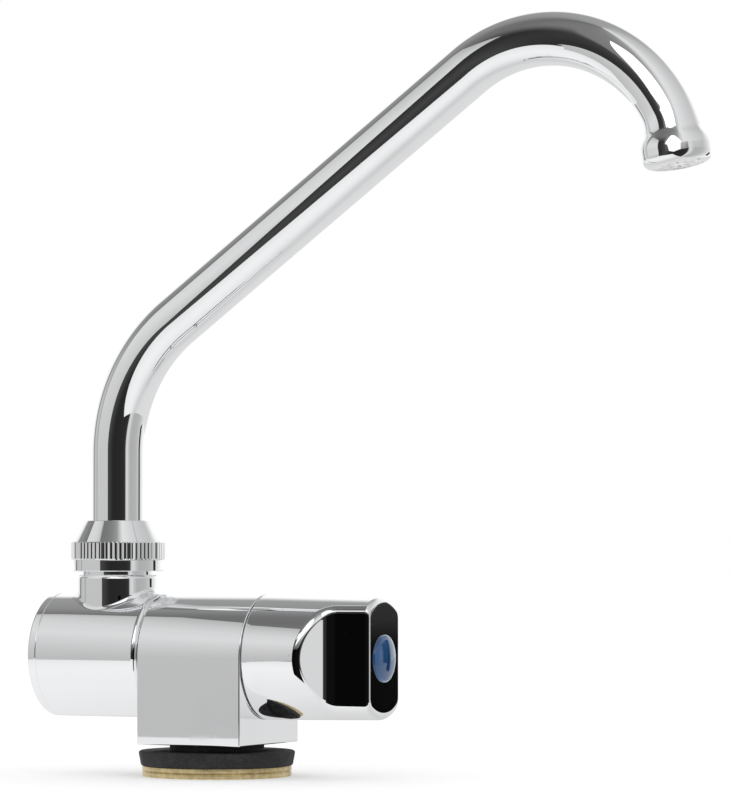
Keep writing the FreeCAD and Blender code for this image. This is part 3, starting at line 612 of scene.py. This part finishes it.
# handle: sections across the axis, each a circle cut by the two finger scoops
def makeHandle():
    knob = {"start": 17.9, "end": 55.75, "startRadius": 18.75, "endRadius": 18.1, "bore": 15.5, "boreEnd": 27.4,
            "rim": 0.5, "endRound": 1.6, "barHalf": 10.0, "draft": 2.5, "flat": 10.0, "scoop": 6.2, "wall": 48.5,
            "wallEdge": 3.2, "flatEdge": 3.0, "capSeat": 7.03, "capFloor": 53.35, "chordPoints": 25,
            "cornerPoints": 10, "arcPoints": 57, "flatInset": 0.5, "arcInset": 1.5, "faceLock": 0.985,
            "seatLock": 1.02}
    start, end, edge = knob["start"], knob["end"], knob["wallEdge"]
    chordPoints, cornerPoints, arcPoints = knob["chordPoints"], knob["cornerPoints"], knob["arcPoints"]
    total = 2 * (chordPoints + arcPoints) + 4 * cornerPoints

    def coneRadius(x):
        return knob["startRadius"] + (knob["endRadius"] - knob["startRadius"]) * (x - start) / (end - start)

    def evenTurn(i):
        return math.pi + ((chordPoints - 1) / 2 - i) * math.tau / total

    def roundSection(x, radius, gather=0.0):  # gather draws the side points together before the scoop starts
        loop = []
        quarter = (chordPoints + 2 * cornerPoints + 1) / 2 * math.tau / total
        for i in range(total):
            turn = evenTurn(i) % math.tau
            side = math.pi if math.cos(turn) < 0 else (0.0 if turn < math.pi else math.tau)
            away = turn - side
            reach = abs(away)
            if reach <= quarter:
                reach *= 1 - gather
            else:
                inside = quarter * (1 - gather)
                reach = inside + (reach - quarter) * (math.pi / 2 - inside) / (math.pi / 2 - quarter)
            turn = side + math.copysign(reach, away)
            loop.append((x, radius * math.cos(turn), axisHeight + radius * math.sin(turn)))
        return loop

    shares = [-1, -0.985] + [-0.95 + 1.9 * i / (chordPoints - 5) for i in range(chordPoints - 4)] + [0.985, 1]

    def ballSection(x, half, lean, soft, inset=0.0):  # a ball rolled along the outline gives the soft edge
        ballX, ballY = x - soft * math.sin(lean), half - soft * math.cos(lean)
        radius = coneRadius(min(ballX, end - knob["endRound"])) - inset
        rise = math.sqrt(max((radius - soft) ** 2 - ballY ** 2, 0.0)) * (x > wallX + 0.001)
        ball = Vector((ballX, -ballY, rise))
        first, last = Vector((math.sin(lean), -math.cos(lean), 0)), Vector((0, -ballY, rise)).normalized()
        sweep = first.angle(last)
        points = [(x, -half, rise * share) for share in shares]
        corner = []
        for i in range(1, cornerPoints + 1):
            part = i / (cornerPoints + 1)
            way = (first * math.sin((1 - part) * sweep) + last * math.sin(part * sweep)) / math.sin(sweep)
            corner.append(tuple(ball + way * soft))
        points += corner
        top = math.atan2(rise, -ballY)
        for i in range(arcPoints):
            turn = top + (math.pi - 2 * top) * i / (arcPoints - 1)
            points.append((ballX, radius * math.cos(turn), radius * math.sin(turn)))
        points += [(x, -y, z) for x, y, z in reversed(corner)]
        points += [(x, -y, -z) for x, y, z in points]
        return [(x, y, axisHeight + z) for x, y, z in points]

    draft = math.radians(knob["draft"])
    flatStart = Vector((end - knob["flat"], knob["barHalf"] + knob["flat"] * math.tan(draft)))
    centre = flatStart + Vector((math.sin(draft), math.cos(draft))) * knob["scoop"]
    wall = math.radians(knob["wall"])
    hollowEnd = centre - Vector((math.sin(wall), math.cos(wall))) * knob["scoop"]
    ballX = hollowEnd.x
    for trial in range(4):
        wallTop = coneRadius(ballX) - edge + edge * math.cos(wall)
        wallX = hollowEnd.x - (wallTop - hollowEnd.y) / math.tan(wall)
        ballX = wallX - edge * math.sin(wall)
    loops = [roundSection(knob["boreEnd"], knob["bore"]), roundSection(start, knob["bore"])]
    for step in range(6):
        turn = math.pi / 2 * step / 5
        x = start + knob["rim"] * (1 - math.cos(turn))
        loops.append(roundSection(x, coneRadius(x) - knob["rim"] * (1 - math.sin(turn))))
    for step in range(1, 10):
        x = start + knob["rim"] + (ballX - start - knob["rim"]) * step / 10
        loops.append(roundSection(x, coneRadius(x), max(0.0, (step - 2) / 8) ** 1.5))
    for before, gather in ((0.7, 0.9), (0.25, 0.95), (0.0, 1.0)):
        loops.append(roundSection(ballX - before, coneRadius(ballX - before), gather))
    tipLoop = len(loops) - 1
    tip = Vector((wallX, wallTop))
    for step in range(16):
        place = tip.lerp(hollowEnd, (step / 16) ** 2)
        loops.append(ballSection(place.x, place.y, wall, edge))
    for step in range(25):
        turn = wall + (draft - wall) * step / 24
        place = centre - Vector((math.sin(turn), math.cos(turn))) * knob["scoop"]
        loops.append(ballSection(place.x, place.y, turn, edge + (knob["flatEdge"] - edge) * step / 24))
    edge = knob["flatEdge"]
    last = end - knob["endRound"]
    lastHalf = knob["barHalf"] + knob["endRound"] * math.tan(draft)
    for x in (end - knob["flat"] + 0.4, last - 0.3):
        loops.append(ballSection(x, knob["barHalf"] + (end - x) * math.tan(draft), draft, edge))
    for step in range(9):
        turn = math.pi / 2 * step / 8
        inset = knob["endRound"] * (1 - math.cos(turn))
        loops.append(ballSection(last + knob["endRound"] * math.sin(turn), lastHalf - inset * knob["flatInset"],
                                 0.0, edge - inset * knob["flatInset"], inset * knob["arcInset"]))
    lock = knob["faceLock"]  # a loop close to each edge keeps the face flat
    loops.append([(x, y * lock, axisHeight + (z - axisHeight) * lock) for x, y, z in loops[-1]])
    seat = []
    for x, y, z in loops[-1]:
        reach = math.hypot(y, z - axisHeight)
        seat.append((y / reach * knob["capSeat"], axisHeight + (z - axisHeight) / reach * knob["capSeat"]))
    lock = knob["seatLock"]
    loops.append([(end, y * lock, axisHeight + (z - axisHeight) * lock) for y, z in seat])
    loops.append([(end, y, z) for y, z in seat])
    loops.append([(knob["capFloor"], y, z) for y, z in seat])
    piece = loftedPiece("handleKnob", loops, tipLoop)
    finishPiece(piece, "handle", ["handle_knob"], chrome, 30)
    normals = [corner.vector.copy() for corner in piece.data.corner_normals]
    slope = (knob["startRadius"] - knob["endRadius"]) / (end - start)
    for loop in piece.data.loops:  # true normals on the round part
        x, y, z = piece.data.vertices[loop.vertex_index].co / mm
        spoke = Vector((0, y, z - axisHeight))
        if start + knob["rim"] < x < last and abs(spoke.length - coneRadius(x)) < 0.003:
            out = (spoke.normalized() + Vector((slope, 0, 0))).normalized()
            if out.dot(normals[loop.index]) > 0.7:
                normals[loop.index] = out
    piece.data.normals_split_custom_set(normals)


def makeIndexCap():
    cap = {"radius": 7.0, "base": 53.35, "rim": 56.15, "crown": 57.25, "rimEdge": 0.25, "dome": 1.1,
           "middle": 0.3, "rimWidth": 0.62, "domeInset": 0.7}
    ball = (cap["radius"] ** 2 + cap["dome"] ** 2) / (2 * cap["dome"])
    profile = [(cap["middle"], cap["base"]), (cap["radius"], cap["base"]),
               (cap["radius"], cap["rim"] - cap["rimEdge"])]
    for step in range(5):
        turn = math.pi / 2 * step / 4
        profile.append((cap["radius"] - cap["rimEdge"] * (1 - math.cos(turn)),
                        cap["rim"] - cap["rimEdge"] * (1 - math.sin(turn))))
    profile.append((cap["radius"] - cap["rimWidth"], cap["rim"]))
    for step in range(1, 15):
        reach = (cap["radius"] - cap["domeInset"]) * (1 - step / 14.5)
        profile.append((reach, cap["crown"] - ball + math.sqrt(ball ** 2 - reach ** 2)))
    piece = turnedPiece("indexCap", profile, 128, closed=False)
    toBodyAxis(piece)
    finishPiece(piece, "handle", ["index_cap"], bluePart, 40)


def makeGasket():
    gasket = {"outer": 23.6, "inner": 13.52, "top": -2.1, "bottom": -6.5, "edge": 0.6, "taper": 0.8, "lip": 0.6,
              "lipTop": -0.3, "waver": 0.3, "calm": 2.0}
    lip = gasket["inner"] + gasket["lip"]
    outline = [(gasket["inner"], gasket["bottom"], 0.2),
               (gasket["outer"] - gasket["taper"], gasket["bottom"], gasket["edge"]),
               (gasket["outer"], gasket["top"], gasket["edge"]), (lip, gasket["top"], 0.2),
               (lip, gasket["lipTop"], 0.15), (gasket["inner"], gasket["lipTop"], 0.1)]
    piece = turnedPiece("footGasket", softened(outline, 6), roundSides)
    for corner in piece.data.vertices:
        turn = math.atan2(corner.co.y, corner.co.x)
        reach = math.hypot(corner.co.x, corner.co.y) / mm
        ripple = 0.5 + 0.22 * math.sin(5 * turn + 0.6) + 0.16 * math.sin(11 * turn) + 0.12 * math.sin(23 * turn + 2)
        if reach > lip + gasket["calm"]:
            shrink = 1 - gasket["waver"] * ripple / reach
            corner.co.x *= shrink
            corner.co.y *= shrink
    finishPiece(piece, "base", ["foot_gasket"], rubber, 40, False)


def makeRingNut():
    nut = {"outer": 22.3, "inner": 13.25, "top": -6.5, "bottom": -9.7, "groove": 0.4, "edge": 0.3, "hole": 2.0,
           "holeDepth": 1.6, "holes": 4, "shank": 13.22}
    middle = (nut["top"] + nut["bottom"]) / 2
    outline = [(nut["inner"], nut["bottom"], 0.3), (nut["outer"], nut["bottom"], nut["edge"]),
               (nut["outer"], middle - nut["groove"] / 2, 0.08), (nut["outer"] - nut["groove"], middle, 0.08),
               (nut["outer"], middle + nut["groove"] / 2, 0.08), (nut["outer"], nut["top"], nut["edge"]),
               (nut["inner"], nut["top"], 0.3)]
    piece = turnedPiece("ringNut", softened(outline, 4), roundSides)
    circle = (nut["shank"] + nut["outer"]) / 2
    for step in range(nut["holes"]):
        turn = math.tau * step / nut["holes"]
        place = (circle * math.cos(turn), circle * math.sin(turn))
        bore(piece, nut["hole"], nut["bottom"] - past, nut["bottom"] + nut["holeDepth"], "Z", place)
    finishPiece(piece, "base", ["ring_nut"], brass, 30)


makeBlock()
makeBarrel()
makeEndCap()
makeUnionNut()
tubeEnd = makeSpout()
makeNozzle(tubeEnd)
makeHandle()
makeIndexCap()
makeGasket()
makeRingNut()

# pieces inside keep their solids and get a finish
insideFinish = {
    "mounting_shank": brass, "inlet_seal": rubber, "cartridge_body": brass, "cartridge_washer": greyPlastic,
    "seat_seal": rubber, "fixed_ceramic_disc": ceramic, "handle_glide_ring": greyPlastic, "pivot_spigot": brass,
    "pivot_o_rings": rubber, "thrust_washer": greyPlastic, "fold_stop_pin": steel, "pivot_keeper": steel,
    "pivot_screw": steel, "lower_slip_ring": greyPlastic, "upper_slip_ring": greyPlastic, "spout_nipple": brass,
    "spout_o_rings": rubber, "aerator_seal": rubber, "aerator_mesh": palePlastic, "aerator_housing": palePlastic,
    "flow_straightener": palePlastic, "handle_screw": steel, "valve_spindle": brass,
    "moving_ceramic_disc": ceramic, "spindle_o_rings": rubber, "spindle_clip": steel,
}
for nodeName, finish in insideFinish.items():
    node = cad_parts[nodeName]
    node.data.materials.clear()
    node.data.materials.append(finish)
print("inner pieces finished", len(insideFinish))


# studio: white table and sweep, a pale card on the left, a dark room behind the camera
def tone(level):  # screen level to light
    part = level / 255
    return ((part + 0.055) / 1.055) ** 2.4 if part > 0.04 else part / 12.92


def grey(level, gain=1.08):
    value = tone(level) * gain
    return rgba(value, value, value)


def placeSheet(name, corners, shade, mirrorOnly=True):
    mesh = bpy.data.meshes.new(name)
    mesh.from_pydata([tuple(value * mm for value in corner) for corner in corners], [], [tuple(range(len(corners)))])
    sheet = bpy.data.objects.new(name, mesh)
    bpy.context.scene.collection.objects.link(sheet)
    finish = bpy.data.materials.new(name)
    finish.use_nodes = True
    finish.node_tree.nodes.clear()
    shade(Flow(finish.node_tree))
    mesh.materials.append(finish)
    if mirrorOnly:  # seen in the chrome alone
        sheet.visible_camera = False
        sheet.visible_diffuse = False
        sheet.visible_shadow = False
    return sheet


def glow(flow, colour):
    light = flow.node("ShaderNodeEmission", None, {"Color": colour, "Strength": 1.0})
    flow.node("ShaderNodeOutputMaterial", None, {"Surface": light})


def evenGlow(level, gain=1.08):
    return lambda flow: glow(flow, grey(level, gain))


def risingGlow(stops, top, reach=None):  # levels by height, with a reach only for what stands that close
    def shade(flow):
        place = flow.node("ShaderNodeTexCoord").out("Object")
        height = flow.node("ShaderNodeSeparateXYZ", None, {0: place}).out("Z") / (top * mm)
        ramp = [(z / top, grey(level)) for z, level in stops]
        colour = flow.node("ShaderNodeValToRGB", {"stops": ramp}, {0: height})
        if not reach:
            glow(flow, colour)
            return
        close = flow.node("ShaderNodeLightPath").out("Ray Length").span(reach * mm, (reach + 1) * mm, 1.0, 0.0)
        light = flow.node("ShaderNodeEmission", None, {"Color": colour, "Strength": 1.0})
        clear = flow.node("ShaderNodeBsdfTransparent")
        flow.node("ShaderNodeOutputMaterial", None,
                  {"Surface": flow.node("ShaderNodeMixShader", None, {0: close, 1: clear, 2: light})})
    return shade


def makeRoom():  # what the chrome sees beyond the sheets, by direction from -Y toward +X
    low = [(-180, 255), (-140, 252), (-118, 245), (-107, 222), (-103, 120), (-99, 120),
           (-96, 186), (-80, 192), (-70, 60), (-45, 52), (-28, 46), (-14, 66), (4, 42), (10, 38), (50, 42),
           (60, 52), (63, 205), (70, 213), (76, 188), (85, 172), (110, 178), (122, 190),
           (140, 215), (150, 228), (162, 248), (180, 255)]
    high = [(-180, 158), (-140, 152), (-100, 140), (-70, 112), (-50, 108), (-30, 118), (-15, 120), (5, 130),
            (25, 150), (38, 200), (48, 224), (90, 206), (120, 196), (150, 186), (165, 170), (180, 158)]
    between = [(-180, 30, 20), (-140, 32, 16), (-120, 26, 10), (-100, 10, 20), (-75, 5, 30), (-45, 20, 30),
               (-20, 22, 32), (-11, 0, 14), (0, 4, 20), (15, 5, 15), (30, 5, 14), (45, 10, 10), (60, 14, 8),
               (110, 14, 8), (140, 20, 20), (165, 28, 20), (180, 30, 20)]
    world = bpy.data.worlds.new("studio")
    bpy.context.scene.world = world
    world.use_nodes = True
    world.node_tree.nodes.clear()
    flow = Flow(world.node_tree)
    way = flow.node("ShaderNodeTexCoord").out("Generated")
    apart = flow.node("ShaderNodeSeparateXYZ", None, {0: way})
    turn = flow.maths("ARCTAN2", apart.out("X"), apart.out("Y") * -1) / math.tau + 0.5
    rise = flow.maths("ARCSINE", apart.out("Z")) * (180 / math.pi)

    def byTurn(stops):
        return flow.node("ShaderNodeValToRGB", {"stops": [(turnAt / 360 + 0.5, colour) for turnAt, colour in stops]},
                         {0: turn})

    walls = byTurn([(turnAt, grey(level)) for turnAt, level in low])
    ceiling = byTurn([(turnAt, grey(level)) for turnAt, level in high])
    limits = flow.node("ShaderNodeSeparateColor", None, {
        0: byTurn([(turnAt, rgba(start / 90, width / 90, 0)) for turnAt, start, width in between])})
    start = limits.out("Red") * 90
    up = flow.node("ShaderNodeMapRange", {"interpolation_type": "SMOOTHSTEP"},
                   {0: rise, 1: start, 2: start + limits.out("Green") * 90, 3: 0.0, 4: 1.0})
    rays = flow.node("ShaderNodeLightPath")
    plain = flow.maths("MAXIMUM", rays.out("Is Camera Ray"), rays.out("Is Diffuse Ray"))
    colour = plain.mix(up.mix(walls, ceiling), rgba(1, 1, 1))
    sky = flow.node("ShaderNodeBackground", None, {"Color": colour, "Strength": 1.0})
    flow.node("ShaderNodeOutputWorld", None, {"Surface": sky})


def makeStudio():
    room = {"floor": -9.7, "front": -350.0, "left": -470.0, "right": 230.0, "back": 1500.0,
            "card": [(-157, -450), (-265, -127), (-318, -89)], "cardTop": 500.0, "cardLean": 60.0}
    floor, front, back, top = room["floor"], room["front"], room["back"], room["cardTop"]
    left, right = room["left"], room["right"]
    makeRoom()

    def tableGlowPaintedShadow(flow):
        place = flow.node("ShaderNodeTexCoord").out("Object")
        apart = flow.node("ShaderNodeSeparateXYZ", None, {0: place})
        behind = apart.out("X") * 0.47 + apart.out("Y") * 0.88
        # painted shadow: the table's mirrored glow is painted darker close to the tap's base; it also darkens behind
        # the tap and toward the far front
        stops = [(-400, 226), (-220, 233), (-105, 240), (-50, 237), (-34, 234), (-10, 229), (5, 222), (50, 204),
                 (110, 216), (240, 218)]
        glow(flow, flow.node("ShaderNodeValToRGB", {"stops": [(at / 700 + 0.6, grey(level)) for at, level in stops]},
                             {0: behind / 0.7 + 0.6}))

    low = floor - 0.1
    placeSheet("mirroredTable", [(left, front, low), (right, front, low), (right, back, low), (left, back, low)],
               tableGlowPaintedShadow)
    cardShade = risingGlow([(0, 187), (60, 194), (150, 206), (240, 217), (330, 212), (420, 198), (500, 178)], top)
    for index, (first, second) in enumerate(zip(room["card"], room["card"][1:])):
        upper = (first[0] - room["cardLean"], first[1]) if index == 0 else first  # its front edge leans away
        placeSheet("leftCard%d" % index, [(*first, low), (*second, low), (*second, top), (*upper, top)], cardShade)
    # a grey patch on the table to the front left, seen in the chrome alone
    placeSheet("greyTablePatch", [(-88, -228, floor), (-165, -450, floor), (-240, -208, floor), (-160, -226, floor)],
               evenGlow(187))

    def far(turnAt, riseAt, place=(130, 0, 190), distance=1500):  # a point away from the spout's end
        turnAt, riseAt = math.radians(turnAt), math.radians(riseAt)
        way = Vector((math.sin(turnAt) * math.cos(riseAt), -math.cos(turnAt) * math.cos(riseAt), math.sin(riseAt)))
        return tuple(Vector(place) + way * distance)

    def near(turnAt, riseAt):  # seen in the outlet alone
        return far(turnAt, riseAt, (149, 0, 173), 150)

    placeSheet("softbox", [far(-12, 12), far(42, 17), far(15, 51), far(0, 52)], evenGlow(255, 1.3))
    placeSheet("lowSoftbox", [near(-12, 13), near(15, -6), near(42, 18), near(15, 30)],
               risingGlow([(0, 255), (400, 255)], 400, 165))

    def upright(name, middle, half, facing, height, shade):
        along = Vector((math.cos(facing), math.sin(facing))) * half
        first, second = Vector(middle) - along, Vector(middle) + along
        placeSheet(name, [(*first, floor), (*second, floor), (*second, height), (*first, height)], shade)

    upright("blackFlag", (137, 161), 18, math.radians(-26.6), 75,
            risingGlow([(0, 10), (25, 14), (34, 44), (75, 60)], 75, 195))
    upright("farFlag", (303, 315), 38, math.radians(-44), 112, risingGlow([(0, 12), (40, 40), (112, 60)], 112))
    upright("flatFlag", (26, -75), 18, 0.0, 43, risingGlow([(0, 7), (43, 7)], 43, 80))
    upright("frontFlag", (85, -75), 45, 0.0, 40, risingGlow([(0, 14), (40, 14)], 40, 85))
    placeSheet("edgeLight", [(18, -60, 58), (40, -60, 58), (40, -60, 70), (18, -60, 70)],
               risingGlow([(0, 255), (70, 255)], 70, 66))

    def paleFloor(flow):
        matt = flow.node("ShaderNodeBsdfDiffuse", None, {"Color": rgba(0.82, 0.82, 0.82)})
        lift = flow.node("ShaderNodeEmission", None, {"Color": rgba(1, 1, 1), "Strength": 0.24})
        both = flow.node("ShaderNodeAddShader", None, {0: matt, 1: lift})
        below = flow.node("ShaderNodeNewGeometry").out("Backfacing")  # clear from underneath
        clear = flow.node("ShaderNodeBsdfTransparent")
        flow.node("ShaderNodeOutputMaterial", None,
                  {"Surface": flow.node("ShaderNodeMixShader", None, {0: below, 1: both, 2: clear})})

    ground = placeSheet("paleFloor", [(-4000, -4000, floor), (4000, -4000, floor), (4000, 4000, floor),
                                      (-4000, 4000, floor)], paleFloor, False)
    ground.visible_glossy = False


makeStudio()

# camera at the photograph's place
shot = {"azimuth": 26.43, "elevation": -1.48, "distance": 1330.0, "target": (49.4, 0.0, 101.99), "focal": 4515.6,
        "sensor": 36.0, "pixels": 800}
eye = bpy.data.cameras.new("camera")
camera = bpy.data.objects.new("camera", eye)
bpy.context.scene.collection.objects.link(camera)
azimuth, elevation = math.radians(shot["azimuth"]), math.radians(shot["elevation"])
away = Vector((math.sin(azimuth) * math.cos(elevation), -math.cos(azimuth) * math.cos(elevation),
               math.sin(elevation)))
camera.location = (Vector(shot["target"]) + away * shot["distance"]) * mm
camera.rotation_euler = away.to_track_quat("Z", "Y").to_euler()
eye.sensor_width = shot["sensor"]
eye.lens = shot["focal"] * shot["sensor"] / shot["pixels"]
eye.clip_start, eye.clip_end = 0.05, 20.0
bpy.context.scene.camera = camera
bpy.context.scene.view_settings.view_transform = "Standard"
print("camera set")
